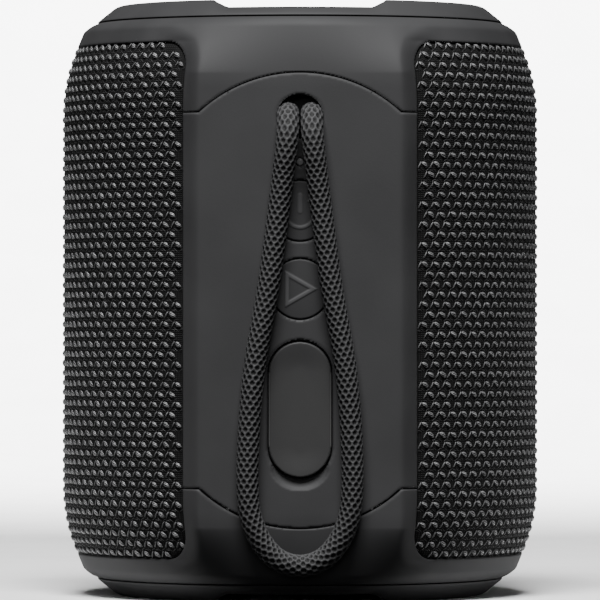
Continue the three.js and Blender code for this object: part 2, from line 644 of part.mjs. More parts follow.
// ---------------------------------------------------------------- volume keys on the front
const bezelBack = 43.4;
const bezel = solid(carriedInDepth(pill(VOLUME_R, VOLUME_HALF_STRAIGHT), -VOLUME_FACE_Y, -bezelBack - 2.2))
  .subtract(solid(carriedInDepth(circleAt(VOLUME_KEY_R + 0.25, VOLUME_KEY_Z), -60, -30)))
  .subtract(solid(carriedInDepth(circleAt(VOLUME_KEY_R + 0.25, -VOLUME_KEY_Z), -60, -30)));
add("volume_bezel", bezel, soft_rubber);
const volumeBoardY = FRONT_FLAT + GAP;
add("volume_board", block([-6.5, volumeBoardY, -14], [6.5, volumeBoardY + 1, 14]), circuit_board);
const volumeKeyOutline = [
  [0, -VOLUME_FACE_Y - VOLUME_KEY_PROUD],
  [VOLUME_KEY_R - 0.3, -VOLUME_FACE_Y - VOLUME_KEY_PROUD],
  [VOLUME_KEY_R, -VOLUME_FACE_Y],
  [VOLUME_KEY_R, -bezelBack - 1.9],
  [VOLUME_KEY_R + 0.9, -bezelBack - 1.9],
  [VOLUME_KEY_R + 0.9, -bezelBack - 1.2],
  [1.2, -bezelBack - 1.2],
  [1.2, -volumeBoardY - 3.1],
  [0, -volumeBoardY - 3.1],
];
for (const [name, z] of [["up", VOLUME_KEY_Z], ["down", -VOLUME_KEY_Z]]) {
  add(`volume_${name}_key`, pinAlongDepth(volumeKeyOutline, 16), soft_rubber).position.z = z;
  add(`volume_${name}_switch`, block([-2, volumeBoardY + 1.05, z - 2], [2, volumeBoardY + 2.6, z + 2]), steel);
}

// ---------------------------------------------------------------- leads inside the cabinet
const leads = {
  battery_lead: [[0, -13.6, -33.4], [-4, -14, -37], [-12, -16, -38], [-16, -20, -36], [-17, -25.2, -32]],
  left_driver_lead: [[-18, 6, 16.5], [-18, 0, 22], [-16, -12, 24], [-15, -20, 22], [-15, -25.2, 18]],
  right_driver_lead: [[18, 6, 16.5], [18, 0, 22], [16, -12, 24], [15, -20, 22], [15, -25.2, 18]],
};
for (const [name, points] of Object.entries(leads)) {
  add(name, tube(cordPath(points), 1.6, 12, 6), lead_insulation);
}

// ---------------------------------------------------------------- the whole speaker, standing on z = 0
speaker.position.set(0, AXIS_Y, HALF_HEIGHT);
const part = new THREE.Group();
part.add(speaker);
export default part;
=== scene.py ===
# %% [markdown]
# # A portable shower speaker
#
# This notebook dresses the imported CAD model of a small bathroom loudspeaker. The speaker is an upright
# barrel covered in coarse knitted cloth. A flat rubber spine runs down its back, and carries a loop of
# braided cord, a status light, two keys and a port cover. A rubber bumper ring finishes each end.
#
# The CAD model fixes every size and every joint. What is added here is the finish: rounded edges, real
# yarn in the cloth, the braid of the cord, and the surface of each material.

import json
import math

import bpy
import numpy as np
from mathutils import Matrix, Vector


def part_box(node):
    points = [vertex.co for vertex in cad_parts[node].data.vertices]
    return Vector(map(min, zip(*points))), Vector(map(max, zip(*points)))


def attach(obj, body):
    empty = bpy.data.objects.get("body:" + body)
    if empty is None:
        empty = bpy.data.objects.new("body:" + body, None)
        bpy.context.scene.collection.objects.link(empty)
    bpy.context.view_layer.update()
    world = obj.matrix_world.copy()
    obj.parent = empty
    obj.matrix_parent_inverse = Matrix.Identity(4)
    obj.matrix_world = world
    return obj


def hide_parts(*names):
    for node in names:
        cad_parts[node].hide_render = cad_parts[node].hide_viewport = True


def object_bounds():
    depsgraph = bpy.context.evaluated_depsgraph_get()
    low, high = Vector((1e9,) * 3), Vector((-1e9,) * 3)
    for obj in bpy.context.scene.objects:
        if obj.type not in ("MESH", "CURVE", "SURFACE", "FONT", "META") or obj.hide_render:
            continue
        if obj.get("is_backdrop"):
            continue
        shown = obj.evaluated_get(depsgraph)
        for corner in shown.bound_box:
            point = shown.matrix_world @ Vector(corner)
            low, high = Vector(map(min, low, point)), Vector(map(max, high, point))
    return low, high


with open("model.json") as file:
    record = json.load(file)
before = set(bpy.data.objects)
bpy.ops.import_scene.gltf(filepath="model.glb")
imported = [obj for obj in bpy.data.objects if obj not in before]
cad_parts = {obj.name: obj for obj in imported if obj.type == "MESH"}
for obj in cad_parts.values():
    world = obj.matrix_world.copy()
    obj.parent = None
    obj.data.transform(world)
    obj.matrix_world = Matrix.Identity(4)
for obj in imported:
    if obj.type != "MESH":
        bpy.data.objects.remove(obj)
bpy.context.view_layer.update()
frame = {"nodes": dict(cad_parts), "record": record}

# %% [markdown]
# ## Where the barrel is
#
# All shapes below are worked out in millimetres about the barrel's own axis, with z = 0 at mid-height. A
# *depth* is a distance from that axis towards the spine. One function then moves the points into the CAD
# model's frame, which is in metres and stands on the floor.

# %% Read the axis from the CAD model
SPINE_DEPTH = 44.3
HALF_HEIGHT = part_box("top_bumper")[1].z * 1000 / 2
AXIS_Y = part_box("rear_panel")[0].y * 1000 + SPINE_DEPTH
BARREL_R = 47.4


def in_metres(points):
    """Points in mm about the axis, as rows of x, y, z, moved to the CAD model's frame in metres."""
    return (np.asarray(points, float) + [0, AXIS_Y, HALF_HEIGHT]) / 1000


print(f"axis at y = {AXIS_Y:.2f} mm, half height {HALF_HEIGHT:.2f} mm")

# %% [markdown]
# ## Camera
#
# Studio shots of small products are taken from over a metre away with a long lens, so that straight edges
# stay straight. The camera stands level with the middle of the barrel and looks along +Y at the spine.

# %% Camera
CAMERA_DISTANCE = 1280  # mm from the barrel's axis
camera_data = bpy.data.cameras.new("camera")
camera_data.sensor_width = 36
camera_data.lens = 384
camera_data.clip_end = 50  # metres
camera = bpy.data.objects.new("camera", camera_data)
bpy.context.collection.objects.link(camera)
camera.location = in_metres([0, -CAMERA_DISTANCE, 0.1])
camera.rotation_euler = (math.pi / 2, 0, 0)
bpy.context.scene.camera = camera
print(f"camera {CAMERA_DISTANCE} mm from the barrel's axis, {camera_data.lens:.0f} mm lens")

# %% [markdown]
# Every new piece is a mesh of computed points. One helper builds it, hangs it on a body of the CAD model
# and prints its size.


# %% Mesh helper
def make_piece(name, points, faces, material, body="speaker_body", uv=None):
    """A smooth mesh from points in mm, which rides on a CAD body. uv gives each point a pair of numbers."""
    mesh = bpy.data.meshes.new(name)
    mesh.from_pydata(in_metres(points).tolist(), [], [list(f) for f in faces])
    mesh.validate()
    mesh.shade_smooth()
    if uv is not None:
        layer = mesh.uv_layers.new(name="UVMap")
        corners = np.empty(len(mesh.loops), int)
        mesh.loops.foreach_get("vertex_index", corners)
        layer.uv.foreach_set("vector", np.asarray(uv, float)[corners].ravel())
    piece = bpy.data.objects.new(name, mesh)
    bpy.context.collection.objects.link(piece)
    piece.data.materials.append(material)
    if body:
        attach(piece, body)
        print(f"{name}: {len(points)} points, {len(faces)} faces")
    return piece


# %% [markdown]
# ## Materials
#
# Each material is the Principled shader with numbers that suit the real stuff, and noise on top of them.
# Dark rubber and plastic never look like one flat colour: they gather dust and skin oil in soft patches,
# and a moulded surface keeps the fine grain of its steel mould. Noise worked out from each point's place
# draws both, because it has no seams and needs no picture.


# %% Material helpers
def linear(code):
    """A colour written as six hex digits of sRGB, turned into the linear numbers that a shader works in."""
    shares = [int(code[i : i + 2], 16) / 255 for i in (0, 2, 4)]
    return [s / 12.92 if s <= 0.04045 else ((s + 0.055) / 1.055) ** 2.4 for s in shares] + [1]


def add_node(tree, kind, inputs=(), **settings):
    """One shader node. inputs pairs a socket's name or number with its value, or with a socket to link."""
    node = tree.nodes.new("ShaderNode" + kind)
    for key, value in settings.items():
        setattr(node, key, value)
    for key, value in dict(inputs).items():
        if isinstance(value, bpy.types.NodeSocket):
            tree.links.new(value, node.inputs[key])
        else:
            node.inputs[key].default_value = value
    return node


def new_material(name, roughness, ior=1.5, metallic=0.0):
    """A named material with its Principled shader. Returns the material, its node tree and the shader."""
    material = bpy.data.materials.new(name)
    material.use_nodes = True
    tree = material.node_tree
    shader = tree.nodes["Principled BSDF"]
    shader.inputs["Roughness"].default_value = roughness
    shader.inputs["IOR"].default_value = ior
    shader.inputs["Metallic"].default_value = metallic
    return material, tree, shader


def mix_colour(tree, share, dark, light):
    """Two colours, each a hex code or a socket, mixed by a share from 0 to 1."""
    values = {0: share}
    for socket, colour in ((6, dark), (7, light)):
        values[socket] = linear(colour) if isinstance(colour, str) else colour
    return add_node(tree, "Mix", values, data_type="RGBA").outputs[2]


def moulded(name, dark, light, roughness, grain_mm=0.25, bump=0.05, metallic=0.0, ior=1.5):
    """A moulded surface: soft patches of two near colours, smoother and rougher patches, and a fine grain."""
    material, tree, shader = new_material(name, roughness, ior, metallic)
    place = add_node(tree, "TexCoord").outputs["Object"]
    patches = add_node(tree, "TexNoise", {"Vector": place, "Scale": 45, "Detail": 3})
    grain = add_node(tree, "TexNoise", {"Vector": place, "Scale": 1000 / grain_mm, "Detail": 2})
    share = add_node(tree, "MapRange", {0: patches.outputs[0], 1: 0.35, 2: 0.65}).outputs[0]
    fleck = add_node(tree, "MapRange", {0: grain.outputs[0], 1: 0.3, 2: 0.7, 3: 0.0, 4: 0.25}).outputs[0]
    both = add_node(tree, "Math", {0: share, 1: fleck}, operation="ADD", use_clamp=True).outputs[0]
    tree.links.new(mix_colour(tree, both, dark, light), shader.inputs["Base Color"])
    low, high = roughness - 0.06, roughness + 0.06
    rough = add_node(tree, "MapRange", {0: patches.outputs[0], 1: 0.3, 2: 0.7, 3: low, 4: high}).outputs[0]
    tree.links.new(rough, shader.inputs["Roughness"])
    height = add_node(tree, "Bump", {"Height": grain.outputs[0], "Distance": bump / 1000, "Strength": 0.6})
    tree.links.new(height.outputs[0], shader.inputs["Normal"])
    return material


# %% Moulded and metal materials
panel_rubber = moulded("silicone_rubber_panel", "252526", "2c2c2d", 0.72, 0.22, 0.02, ior=1.41)
key_rubber = moulded("silicone_rubber_keys", "222223", "292929", 0.68, 0.22, 0.02, ior=1.41)
marked_rubber = moulded(
    "silicone_rubber_keys_with_lighter_marks", "1f1f20", "262627", 0.68, 0.22, 0.02, ior=1.41
)
collar_coat = moulded("soft_touch_coated_abs", "252526", "2c2c2d", 0.72, 0.18, 0.015, ior=1.41)
bumper_rubber = moulded("moulded_tpe_bumper", "232324", "2a2a2b", 0.72, 0.25, 0.02, ior=1.41)
black_abs = moulded("moulded_abs_black", "121213", "1a1a1b", 0.45, 0.3, 0.02)
membrane = moulded("butyl_rubber_surround", "101010", "171717", 0.42, 0.4, 0.02)
anodised = moulded("anodised_aluminium_plate", "2c2d2f", "383a3c", 0.32, 0.5, 0.01, 1.0, 1.45)
plated_steel = moulded("plated_steel", "8a8a8c", "a6a6a8", 0.28, 0.6, 0.01, 1.0)
solder_mask = moulded("solder_mask_board", "0f3320", "164428", 0.35, 0.8, 0.02)
shrink_wrap = moulded("battery_shrink_wrap", "203f6e", "2b4f85", 0.3, 2.0, 0.02)
cone_paper = moulded("coated_paper_cone", "181818", "242424", 0.75, 0.35, 0.06)
light_plastic = moulded("frosted_light_pipe", "4a4a4b", "59595a", 0.45, 0.3, 0.01)
wire_skin = moulded("pvc_wire_insulation", "6a1010", "851717", 0.4, 0.5, 0.01)

# The marks on the keys are a little lighter in colour.
tree = marked_rubber.node_tree
shader = tree.nodes["Principled BSDF"]
mark = add_node(tree, "Attribute", attribute_name="mark").outputs["Fac"]
plain = shader.inputs["Base Color"].links[0].from_socket
tree.links.new(mix_colour(tree, mark, plain, "3b3b3c"), shader.inputs["Base Color"])

# %% [markdown]
# Knitted cloth needs three materials. The yarn is a bright bundle of polyester threads, twisted as it was
# spun, so fine slanted lines run along it; their light and dark in the colour are painted sheen on the
# ridges of the twist and painted shade in its grooves. The ground between the loops is a fine net, coloured
# near black: partly its own dark colour and partly painted shade that falls between the loops. The threads
# that link one row of loops to the next are single, thin and nearly black. All three read the mesh's own
# UV map, so that the twist and the net follow the yarn round its bends.

# %% Cloth materials
yarn, tree, shader = new_material("twisted_polyester_yarn", 0.34, 1.42)
flow = add_node(tree, "UVMap").outputs[0]
twist = add_node(
    tree,
    "TexWave",
    {"Vector": flow, "Scale": 0.75, "Distortion": 0.8, "Detail": 2, "Detail Scale": 2},
    bands_direction="DIAGONAL",
)
spread = add_node(tree, "TexNoise", {"Vector": flow, "Scale": 0.9, "Detail": 3}).outputs[0]
# Painted sheen and shade: the twist wave, times random noise, gives light streaks on the ridges and dark ones
# in the grooves.
thread = add_node(tree, "Math", {0: twist.outputs["Fac"], 1: spread}, operation="MULTIPLY").outputs[0]
share = add_node(tree, "MapRange", {0: thread, 1: 0.12, 2: 0.6}).outputs[0]
tree.links.new(mix_colour(tree, share, "0c0c0d", "949495"), shader.inputs["Base Color"])
lift = add_node(tree, "Bump", {"Height": twist.outputs["Fac"], "Distance": 0.00006, "Strength": 0.7})
tree.links.new(lift.outputs[0], shader.inputs["Normal"])

ground, tree, shader = new_material("fine_net_ground_cloth", 0.9, 1.3)
flow = add_node(tree, "UVMap").outputs[0]
rows = add_node(
    tree, "TexWave", {"Vector": flow, "Scale": 0.8, "Distortion": 0.6}, bands_direction="Y"
).outputs["Fac"]
columns = add_node(
    tree, "TexWave", {"Vector": flow, "Scale": 0.6, "Distortion": 0.8}, bands_direction="X"
).outputs["Fac"]
net = add_node(tree, "Math", {0: rows, 1: columns}, operation="MULTIPLY").outputs[0]
# Painted shade: the net's colour is near black, partly the ground's own dark and partly the shade between the
# loops.
tree.links.new(mix_colour(tree, net, "000000", "191919"), shader.inputs["Base Color"])
lift = add_node(tree, "Bump", {"Height": net, "Distance": 0.00015, "Strength": 0.8})
tree.links.new(lift.outputs[0], shader.inputs["Normal"])

# %% Link thread
link_thread, tree, shader = new_material("black_monofilament_thread", 0.45, 1.5)
flow = add_node(tree, "UVMap").outputs[0]
streak = add_node(tree, "TexNoise", {"Vector": flow, "Scale": 1.5, "Detail": 2}).outputs[0]
tree.links.new(mix_colour(tree, streak, "060606", "3c3c3d"), shader.inputs["Base Color"])

# %% [markdown]
# A braided cord is made of flat yarns that pass over and under each other, half of them climbing to the
# right and half to the left. Where two yarns part, a small hole shows. The cord's own mesh carries that
# relief, and this material paints shade into the holes by the mesh's stored height, near black where the
# surface sinks, so that the shape and its painted shade always agree.

# %% Cord material
braid, tree, shader = new_material("braided_polyester_cord_painted_hole_shade", 0.75, 1.4)
height = add_node(tree, "Attribute", attribute_name="relief").outputs["Fac"]
flow = add_node(tree, "UVMap").outputs[0]
fibre = add_node(tree, "TexNoise", {"Vector": flow, "Scale": 7, "Detail": 3}).outputs[0]
worn = add_node(tree, "MapRange", {0: fibre, 1: 0.3, 2: 0.7, 3: -0.4, 4: 0.3}).outputs[0]
# Painted shade in the holes: low relief gives a near-black colour, and the random fibre tone is added on top.
share = add_node(tree, "Math", {0: height, 1: worn}, operation="ADD", use_clamp=True).outputs[0]
tree.links.new(mix_colour(tree, share, "010101", "3d3d3e"), shader.inputs["Base Color"])
lift = add_node(tree, "Bump", {"Height": fibre, "Distance": 0.00005, "Strength": 0.5})
tree.links.new(lift.outputs[0], shader.inputs["Normal"])

# %% [markdown]
# ## The hanging cord
#
# The cord is one length of braid, folded into a loop. Both ends go through the hole and are clamped
# inside. Each strand leaves the hole, lies against the spine and hangs straight down, and the loop's own
# stiffness spreads the strands apart towards the bottom. A curve with a round bevel would give a smooth
# hose, so the tube's rings are computed instead, and each point is moved in or out by the braid.

# %% The cord's route
CORD_D = 4.4
strand = [
    [2.3, 38.0, 36.3],
    [2.3, 42.4, 36.3],
    [2.3, 45.2, 35.4],
    [2.35, 47.2, 32.7],
    [2.75, 47.6, 28.6],
    [3.25, 47.2, 24.4],
    [3.9, 46.9, 19.1],
    [4.9, 46.8, 11.2],
    [6.0, 46.8, 3.1],
    [7.3, 46.8, -4.2],
    [8.6, 46.8, -11.7],
    [9.5, 46.8, -19.9],
    [10.0, 46.8, -28.5],
    [10.1, 46.8, -35.6],
    [9.5, 46.7, -41.6],
    [7.4, 46.4, -46.6],
    [4.2, 46.1, -50.0],
]
left = np.array(strand) * [-1, -1, 1]
right = np.array(strand)[::-1] * [1, -1, 1]
route = np.vstack([left, [[0, -45.9, -51.2]], right])


def through(points, count):
    """A smooth line through points (centripetal Catmull-Rom), as count places evenly spaced along it.

    Each span is a cubic whose knots are spaced by the square root of the distance between the points.
    """
    p = np.vstack([2 * points[0] - points[1], points, 2 * points[-1] - points[-2]])
    t = np.concatenate([[0], np.cumsum(np.sqrt(np.linalg.norm(np.diff(p, axis=0), axis=1)))])
    out = []
    for i in range(1, len(p) - 2):
        s = np.linspace(t[i], t[i + 1], 60, endpoint=i == len(p) - 3)[:, None]
        a = [((t[k + 1] - s) * p[k] + (s - t[k]) * p[k + 1]) / (t[k + 1] - t[k]) for k in (i - 1, i, i + 1)]
        b = [
            ((t[k + 2] - s) * a[m] + (s - t[k]) * a[m + 1]) / (t[k + 2] - t[k])
            for m, k in ((0, i - 1), (1, i))
        ]
        out.append(((t[i + 1] - s) * b[0] + (s - t[i]) * b[1]) / (t[i + 1] - t[i]))
    line = np.vstack(out)
    along = np.concatenate([[0], np.cumsum(np.linalg.norm(np.diff(line, axis=0), axis=1))])
    even = np.linspace(0, along[-1], count)
    return np.stack([np.interp(even, along, line[:, k]) for k in range(3)], axis=1), along[-1]


# %% The braid
def eased(t):
    """0 to 1 with a gentle start and end: 3 t^2 - 2 t^3."""
    t = np.clip(t, 0, 1)
    return t * t * (3 - 2 * t)


YARNS = 10  # holes round the cord
PITCH = 2.0  # mm along the cord from one hole to the next in the same line
HOLE_R, HOLE_SLOPE, HOLE_DIP = 0.34, 0.24, 0.34  # a hole's floor, the width of its wall and its depth
SIDES = 72


def to_whole(t):
    """Distance from t to the nearest whole number."""
    return np.abs(t - np.round(t))


def braided_tube(name, line, length, diameter):
    """A tube along line whose surface is a fine net of round holes, as a thick knitted braid has.

    With u counted in holes round the cord and v in holes along it, the holes' middles lie at (1/2, 0) and
    (0, 1/2) in every unit square. The surface sinks by how near a place is to the nearest of them.
    """
    ahead = np.gradient(line, axis=0)
    ahead /= np.linalg.norm(ahead, axis=1)[:, None]
    out = np.zeros_like(line)
    side = np.cross(ahead[0], [0, 1, 0])
    for i, way in enumerate(ahead):
        side = side - way * (side @ way)
        side /= np.linalg.norm(side)
        out[i] = side
    up = np.cross(ahead, out)
    turn = np.linspace(0, 2 * math.pi, SIDES + 1)
    u = (turn / (2 * math.pi) * YARNS)[None, :]
    v = (np.linspace(0, length, len(line)) / PITCH)[:, None]
    wide = math.pi * diameter / YARNS
    even = np.hypot(wide * to_whole(u - 0.5), PITCH * to_whole(v))
    odd = np.hypot(wide * to_whole(u), PITCH * to_whole(v - 0.5))
    relief = eased((np.minimum(even, odd) - HOLE_R) / HOLE_SLOPE)
    radius = diameter / 2 - HOLE_DIP * (1 - relief)
    points = (
        line[:, None, :]
        + out[:, None, :] * (np.cos(turn)[None, :] * radius)[..., None]
        + up[:, None, :] * (np.sin(turn)[None, :] * radius)[..., None]
    )
    rows, columns = points.shape[:2]
    index = np.arange(rows * columns).reshape(rows, columns)
    faces = np.stack([index[:-1, :-1], index[:-1, 1:], index[1:, 1:], index[1:, :-1]], -1).reshape(-1, 4)
    uv = np.stack([np.broadcast_to(u, relief.shape), np.broadcast_to(v, relief.shape)], -1).reshape(-1, 2)
    piece = make_piece(name, points.reshape(-1, 3), faces, braid, uv=uv)
    stored = piece.data.attributes.new("relief", "FLOAT", "POINT")
    stored.data.foreach_set("value", relief.astype(np.float32).ravel())
    return piece


rings, cord_length = through(route, 900)
cord = braided_tube("cord_loop", rings, cord_length, CORD_D)
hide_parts("hanging_cord")
print(f"cord {cord_length:.1f} mm long")

# %% [markdown]
# ## The moulded skin
#
# The rear panel and the two collars look like one moulding, cut by thin seams. Their shared surface is
# written as a distance from the barrel's axis, for each place on an unrolled map: `a` is the arc length
# round the barrel from the middle of the spine, and `z` the height. The two windows for the cloth are
# rounded rectangles on that map, and a bevel runs round each of them. Modelled by hand, the two sides
# would drift apart. A formula keeps them the same, and all three pieces meet without a step.

# %% The surface
WINDOW_A = 23.74  # arc length from the middle of the spine to the cloth
WINDOW_Z = 50.3  # half the window's height
WINDOW_CORNER = 5.2
BEVEL = 3.9  # width of the slope between the cloth and the spine's face
BEVEL_SOFT = 0.08  # how much both ends of that slope are softened, as a share of its height
RIM_R, RIM_Z = 40.75, 55.1  # where the moulding meets the bumper
STRAIGHT_Z, END_ARC_R = 37, 32.6  # the barrel's side is straight to this height, then an arc
LEAN_Z, TURN_IN_Z = 41, 53.2  # where the spine's face starts to lean in, and where it rounds over


def barrel(z):
    """The barrel's radius: straight in the middle, then a circular arc inwards to each end."""
    up = np.clip(np.abs(z) - STRAIGHT_Z, 0, 13.4)
    return BARREL_R - END_ARC_R + np.sqrt(END_ARC_R**2 - up**2)


def outside_window(a, z):
    """Signed distance on the map from the edge of the cloth's window, positive on the moulding."""
    px = WINDOW_A + WINDOW_CORNER - np.abs(a)
    pz = np.abs(z) - WINDOW_Z + WINDOW_CORNER
    away = np.hypot(np.maximum(px, 0), np.maximum(pz, 0))
    return away + np.minimum(np.maximum(px, pz), 0) - WINDOW_CORNER


def spine_radius(turn, z):
    """Radius of the spine's face. It is flat, then leans in and becomes a circle at the rim.

    The lean is a parabola, and a second, steeper one rounds the last two millimetres below the rim.
    """
    lean = np.maximum(np.abs(z) - LEAN_Z, 0) / 13
    turn_in = np.maximum(np.abs(z) - TURN_IN_Z, 0) / (RIM_Z - TURN_IN_Z)
    depth = SPINE_DEPTH - 2 * lean**2 - 1.2 * turn_in**2
    share = np.clip((np.abs(z) - 44) / (RIM_Z - 44), 0, 1) ** 1.3
    return depth * ((1 - share) / np.cos(turn) + share)


def skin_radius(a, z):
    """Radius of the moulding: level with the cloth at a window's edge, then up a bevel to the face."""
    turn = a / BARREL_R
    rim = 42.9 - (42.9 - RIM_R) * (np.maximum(np.abs(z) - 53, 0) / (RIM_Z - 53)) ** 2
    round_share = eased((np.abs(turn) - 0.4) / 0.3)
    face = spine_radius(np.clip(turn, -0.75, 0.75), z) * (1 - round_share) + rim * round_share
    rise = outside_window(a, z) / BEVEL
    rise = 0.5 * (rise + np.sqrt(rise**2 + BEVEL_SOFT**2))
    rise = 1 - 0.5 * (1 - rise + np.sqrt((1 - rise) ** 2 + BEVEL_SOFT**2))
    return barrel(z) * (1 - rise) + face * rise


def on_barrel(a, z, radius):
    """Map places and their radii as points about the axis. a = 0 is the middle of the spine, at the back."""
    turn = a / BARREL_R
    return np.stack([radius * np.sin(turn), -radius * np.cos(turn), z], axis=-1)


# %% [markdown]
# One function makes every patch of skin. It lays a grid over the map, pulls the grid's points near an
# edge onto that edge, and keeps the faces inside. The edge is then rounded over and folded back into the
# body, as a real moulding's edge is, which is what makes a seam look like a seam. A Boolean cut would
# leave slivers along the edge that catch the light.


# %% Patches with clean edges
def edge_round(distance, radius):
    """How far a surface drops near its edge, by radius - sqrt(radius^2 - (radius - distance)^2)."""
    short = np.clip(radius - distance, 0, radius)
    return radius - np.sqrt(np.maximum(radius**2 - short**2, 0))


def patch(
    name,
    a,
    z,
    inside,
    surface,
    material,
    wall=1.2,
    rounding=0.3,
    body="speaker_body",
    uv=False,
    ring=False,
):
    """A patch of skin. inside(a, z) is the signed distance to its edge; surface(a, z, drop) gives its points.

    Points within half a grid cell of the edge move along the distance's slope, by distance / slope, onto the
    edge. A ring goes all the way round, so its last column is joined to its first.
    """
    A, Z = np.meshgrid(np.asarray(a, float), np.asarray(z, float))
    step_a, step_z = np.abs(np.gradient(A, axis=1)), np.abs(np.gradient(Z, axis=0))
    near, h = None, 1e-3
    for _ in range(3):
        d = inside(A, Z)
        slope_a = (inside(A + h, Z) - inside(A - h, Z)) / (2 * h)
        slope_z = (inside(A, Z + h) - inside(A, Z - h)) / (2 * h)
        size = np.maximum(slope_a**2 + slope_z**2, 0.2)
        if near is None:  # just over half a grid cell, seen along the slope
            near = np.abs(d) < 0.53 * (np.abs(slope_a) * step_a + np.abs(slope_z) * step_z) / size
        A = np.where(near, A - d * slope_a / size, A)
        Z = np.where(near, Z - d * slope_z / size, Z)
    d = inside(A, Z)
    keep = d > -0.02
    index = np.arange(A.size).reshape(A.shape)
    if ring:
        index = np.hstack([index, index[:, :1]])
    quads = np.stack([index[:-1, :-1], index[:-1, 1:], index[1:, 1:], index[1:, :-1]], -1).reshape(-1, 4)
    held = keep.ravel()[quads]
    whole = quads[held.all(1)]
    three = held.sum(1) == 3
    corners = quads[three][held[three]].reshape(-1, 3)
    faces = [*map(tuple, whole), *map(tuple, corners)]
    points = surface(A, Z, edge_round(np.maximum(d, 0), rounding)).reshape(-1, 3)

    # the edges that belong to one face only are the rim
    of_quads = [whole[:, [i, (i + 1) % 4]] for i in range(4)]
    of_corners = [corners[:, [i, (i + 1) % 3]] for i in range(3)]
    sides = np.vstack(of_quads + of_corners)
    code = sides.min(1) * A.size + sides.max(1)
    _, first, count = np.unique(code, return_index=True, return_counts=True)
    rim = sides[first[count == 1]]
    folded = surface(A, Z, np.full(A.shape, wall)).reshape(-1, 3)
    on_rim = np.unique(rim)
    second = np.full(A.size, -1)
    second[on_rim] = len(points) + np.arange(len(on_rim))
    faces += [(q, p, second[p], second[q]) for p, q in rim]
    points = np.vstack([points, folded[on_rim]])

    used = np.unique(np.concatenate([np.ravel(f) for f in (whole, corners, rim)] + [second[on_rim]]))
    renumber = np.full(len(points), -1)
    renumber[used] = np.arange(len(used))
    faces = [tuple(renumber[list(f)]) for f in faces]
    flat = np.stack([A.ravel(), Z.ravel()], 1)
    flat = np.vstack([flat, flat[on_rim]])[used] if uv else None
    return make_piece(name, points[used], faces, material, body, uv=flat)


def skin(a, z, drop):
    """Points of the moulding's surface, sunk by drop."""
    return on_barrel(a, z, skin_radius(a, z) - drop)


# %% [markdown]
# The seams between the panel and the collars are arcs of a circle across the face, and level across the
# bevels.

# %% Signed distances for the seams and the holes
ARCH_TOP, ARCH_SIDE, FACE_HALF = 44.1, 36.4, 19.65
ARCH_R = (FACE_HALF**2 + (ARCH_TOP - ARCH_SIDE) ** 2) / (2 * (ARCH_TOP - ARCH_SIDE))
SEAM = 0.09


def across(a):
    """x on the spine's flat face for an arc length on the map."""
    return SPINE_DEPTH * np.tan(np.clip(a / BARREL_R, -1.2, 1.2))


def beyond_seam(a, z):
    """Signed distance from the arched seams, positive on the collars."""
    circle = np.hypot(across(a), np.abs(z) - ARCH_TOP + ARCH_R) - ARCH_R
    return np.minimum(circle, np.abs(z) - ARCH_SIDE)


def pill(x, z, radius, half_straight=0.0):
    """Signed distance from an upright pill, or a circle, negative inside."""
    return np.hypot(x, np.maximum(np.abs(z) - half_straight, 0)) - radius


POWER_Z, PLAY_Z, LIGHT_Z, COVER_Z, HOLE_Z = 17.3, 2.2, 26.7, -21.1, 35.55
KEY_R, COVER_R, COVER_STRAIGHT = 5.8, 6.03, 7.07
CUT = 0.2  # the gap round a key
COVER_GAP = 0.4
LIGHT_HOLE_R = 0.85
CORD_HOLE_R, CORD_HOLE_HALF_STRAIGHT = 4.3, 0.2


def panel_inside(a, z):
    """The panel: between the seams and the cloth, less the holes for the cord, light, keys and port cover."""
    x = across(a)
    edge = np.minimum(-beyond_seam(a, z) - SEAM, outside_window(a, z))
    holes = [
        pill(z - HOLE_Z, x, CORD_HOLE_R, CORD_HOLE_HALF_STRAIGHT),
        pill(x, z - LIGHT_Z, LIGHT_HOLE_R),
        pill(x, z - POWER_Z, KEY_R + CUT),
        pill(x, z - PLAY_Z, KEY_R + CUT),
        pill(x, z - COVER_Z, COVER_R + COVER_GAP, COVER_STRAIGHT),
    ]
    return np.minimum.reduce([edge, *holes])


def panel_surface(a, z, drop):
    """The skin, with a fingernail scoop under the port cover: half an ellipsoid, 1.5 mm deep."""
    bowl = 1 - (across(a) / 5.6) ** 2 - ((z + 32.2) / 4.4) ** 2
    scoop = 1.5 * np.sqrt(np.maximum(bowl, 0))
    return on_barrel(a, z, skin_radius(a, z) - drop - scoop)


# %% The panel and the collars
panel = patch(
    "spine_panel",
    np.arange(-24.0, 24.01, 0.3),
    np.arange(-44.4, 44.41, 0.3),
    panel_inside,
    panel_surface,
    panel_rubber,
    wall=1.6,
    rounding=0.15,
)
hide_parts("rear_panel")

half_round = math.pi * BARREL_R
spine_steps = np.arange(-33, 33.01, 0.3)
round_steps = np.arange(34.2, 2 * half_round - 34, 1.6)
collar_steps = np.concatenate([spine_steps, round_steps])


def collar_inside(a, z):
    """A collar: beyond the seam and outside the windows, up to the rim."""
    near = np.where(a > half_round, a - 2 * half_round, a)
    return np.minimum.reduce([beyond_seam(near, z) - SEAM, outside_window(near, z), RIM_Z - np.abs(z)])


def collar_surface(a, z, drop):
    """The skin, for arc lengths that run on past the middle of the front."""
    near = np.where(a > half_round, a - 2 * half_round, a)
    return on_barrel(near, z, skin_radius(near, z) - drop)


collar_rows = np.concatenate([np.arange(36.1, 46, 0.2), np.arange(46, 55.4, 0.29)])
for end, rows in (("upper", collar_rows), ("lower", -collar_rows[::-1])):
    collar = patch(
        f"{end}_moulding",
        collar_steps,
        rows,
        collar_inside,
        collar_surface,
        collar_coat,
        wall=1.6,
        rounding=0.15,
        ring=True,
    )
    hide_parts(f"{end}_collar")

